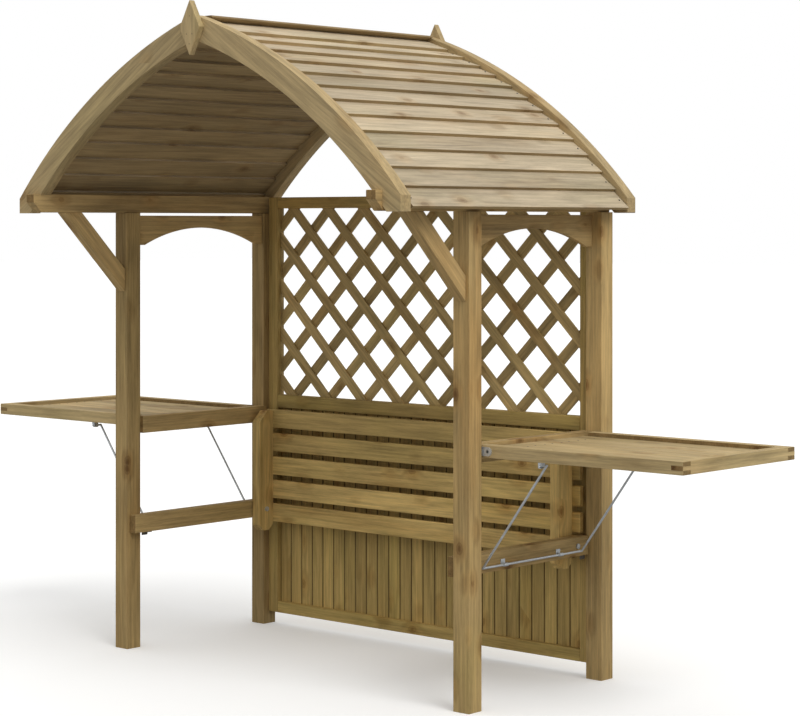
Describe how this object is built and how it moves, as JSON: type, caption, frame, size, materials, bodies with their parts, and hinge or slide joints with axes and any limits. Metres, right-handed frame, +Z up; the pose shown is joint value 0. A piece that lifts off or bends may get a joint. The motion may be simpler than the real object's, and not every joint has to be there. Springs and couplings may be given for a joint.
{
  "type": "garden arbour",
  "caption": "Timber garden arbour with a curved boarded roof, a lattice back, a fold-up slatted seat and drop-leaf side tables on wire bails.",
  "frame": {"origin": "centre of the bounding box in X and Y, on the floor under the posts", "axes": "+X to the right when facing the open front, -Y out of the front, +Z up"},
  "size_m": [2.974, 1.186, 2.132],
  "materials": {
    "post_timber": "sawn, pressure treated",
    "beam_timber": "sawn, pressure treated",
    "gable_timber": "sawn, pressure treated",
    "roof_timber": "sawn, pressure treated",
    "panel_timber": "sawn, pressure treated",
    "lattice_timber": "sawn, pressure treated",
    "rail_timber": "sawn, pressure treated",
    "seat_timber": "sawn, pressure treated",
    "table_timber": "sawn, pressure treated",
    "galvanised_steel": "dull zinc"
  },
  "bodies": {
    "frame": {"front_left_post": "post_timber", "front_right_post": "post_timber", "back_left_post": "post_timber", "back_right_post": "post_timber", "left_eave_beam": "beam_timber", "right_eave_beam": "beam_timber", "left_brace": "beam_timber", "right_brace": "beam_timber", "left_arch_board": "beam_timber", "right_arch_board": "beam_timber", "front_left_bargeboard": "gable_timber", "front_right_bargeboard": "gable_timber", "back_left_bargeboard": "gable_timber", "back_right_bargeboard": "gable_timber", "front_finial": "gable_timber", "back_finial": "gable_timber", "left_roof_boards": "roof_timber", "right_roof_boards": "roof_timber", "ridge_board": "roof_timber", "left_panel_stile": "panel_timber", "right_panel_stile": "panel_timber", "panel_bottom_rail": "panel_timber", "panel_mid_rail": "panel_timber", "panel_top_rail": "panel_timber", "panel_boards": "panel_timber", "panel_lattice": "lattice_timber", "left_seat_rail": "rail_timber", "right_seat_rail": "rail_timber", "left_table_ledger": "rail_timber", "right_table_ledger": "rail_timber", "seat_pivot_bolts": "galvanised_steel", "table_pivot_pins": "galvanised_steel", "bail_clips": "galvanised_steel"},
    "seat": {"left_seat_batten": "seat_timber", "right_seat_batten": "seat_timber", "seat_slats": "seat_timber"},
    "left_table": {"left_table_frame": "table_timber", "left_table_boards": "table_timber", "left_table_straps": "galvanised_steel"},
    "right_table": {"right_table_frame": "table_timber", "right_table_boards": "table_timber", "right_table_straps": "galvanised_steel"},
    "left_bail": {"left_bail": "galvanised_steel"},
    "right_bail": {"right_bail": "galvanised_steel"}
  },
  "joints": [
    {"name": "seat_fold", "type": "hinge", "parent": "frame", "child": "seat", "pos_m": [0, 0.408, 0.428], "axis": [1, 0, 0], "range_deg": [0, 90]},
    {"name": "left_table_fold", "type": "hinge", "parent": "frame", "child": "left_table", "pos_m": [-0.77, 0.167, 0.771], "axis": [0, -1, 0], "range_deg": [0, 90]},
    {"name": "right_table_fold", "type": "hinge", "parent": "frame", "child": "right_table", "pos_m": [0.77, 0.167, 0.771], "axis": [0, 1, 0], "range_deg": [0, 90]},
    {"name": "left_bail_swing", "type": "hinge", "parent": "frame", "child": "left_bail", "pos_m": [-0.742, 0.167, 0.414], "axis": [0, -1, 0], "range_deg": [0, 143.53]},
    {"name": "right_bail_swing", "type": "hinge", "parent": "frame", "child": "right_bail", "pos_m": [0.742, 0.167, 0.414], "axis": [0, 1, 0], "range_deg": [0, 143.53]}
  ],
  "couplings": [
    {"joint": "left_bail_swing", "follows": "left_table_fold", "ratio": 1.5948},
    {"joint": "right_bail_swing", "follows": "right_table_fold", "ratio": 1.5948}
  ]
}
